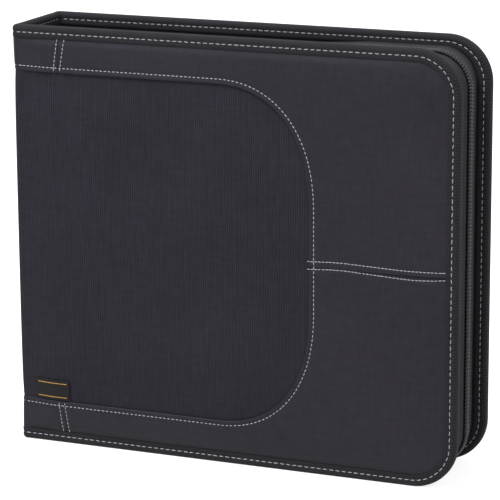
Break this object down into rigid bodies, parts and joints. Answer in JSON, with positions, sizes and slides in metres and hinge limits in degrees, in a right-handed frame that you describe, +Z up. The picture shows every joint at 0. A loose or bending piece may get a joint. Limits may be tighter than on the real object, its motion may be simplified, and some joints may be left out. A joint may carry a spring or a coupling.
{
  "type": "disc storage wallet",
  "caption": "Zip-round black fabric case for discs: two bound covers and a spine round a block of sleeve pages, closed by a zip on three sides.",
  "frame": {"origin": "middle of the overall box in plan, on the plane the lower edges stand on", "axes": "+X from the spine to the opening edge, +Y from the front cover to the back cover, +Z up"},
  "size_m": [0.31, 0.069, 0.284],
  "materials": {
    "smooth_cloth": "smooth coated nylon, satin",
    "ribbed_cloth": "fine vertical rib weave, matt",
    "binding_cloth": "grosgrain tape, matt",
    "wall_cloth": "plain woven nylon, matt",
    "tape_cloth": "twill zip tape, matt",
    "teeth_plastic": "nylon coil, slight sheen",
    "board_card": "stiff board, hidden",
    "lining_cloth": "plain lining cloth, matt",
    "page_paper": "non-woven leaves, matt",
    "sleeve_film": "clear film over dark leaves",
    "tag_cloth": "woven tag, matt",
    "slider_metal": "black-lacquered zip metal"
  },
  "bodies": {
    "back": {"back_board": "board_card", "back_lining": "lining_cloth", "back_sheet": "smooth_cloth", "back_binding": "binding_cloth", "back_gusset": "wall_cloth", "back_zip_tape": "tape_cloth", "back_zip_teeth": "teeth_plastic", "page_block": "page_paper", "page_strip": "lining_cloth", "disc_sleeve_1": "sleeve_film", "disc_sleeve_2": "sleeve_film", "disc_sleeve_3": "sleeve_film", "disc_sleeve_4": "sleeve_film"},
    "spine": {"spine_strip_bottom": "smooth_cloth", "spine_fabric": "ribbed_cloth", "spine_strip_top": "smooth_cloth", "spine_board": "board_card", "spine_lining": "lining_cloth", "spine_binding_top": "binding_cloth", "spine_binding_bottom": "binding_cloth"},
    "front": {"front_board": "board_card", "front_lining": "lining_cloth", "front_sheet_upper": "smooth_cloth", "front_sheet_lower": "smooth_cloth", "front_strip_top": "smooth_cloth", "front_strip_bottom": "smooth_cloth", "front_fabric_panel": "ribbed_cloth", "front_binding": "binding_cloth", "front_gusset": "wall_cloth", "front_zip_tape": "tape_cloth", "front_zip_teeth": "teeth_plastic", "label_tag": "tag_cloth"},
    "slider": {"zip_slider": "slider_metal"},
    "pull": {"zip_pull": "slider_metal"}
  },
  "joints": [
    {"name": "spine_hinge", "type": "hinge", "parent": "back", "child": "spine", "pos_m": [-0.155, 0.0335, 0.142], "axis": [0, 0, -1], "range_deg": [0, 90]},
    {"name": "front_cover_hinge", "type": "hinge", "parent": "spine", "child": "front", "pos_m": [-0.155, -0.0335, 0.142], "axis": [0, 0, -1], "range_deg": [0, 90]},
    {"name": "zip_slide", "type": "slide", "parent": "back", "child": "slider", "axis": [0.9995, 0, 0.0308], "range_m": [0, 0.15]},
    {"name": "pull_hinge", "type": "hinge", "parent": "slider", "child": "pull", "pos_m": [-0.11816, 0, 0.27464], "axis": [0, -1, 0], "range_deg": [0, 175]}
  ]
}
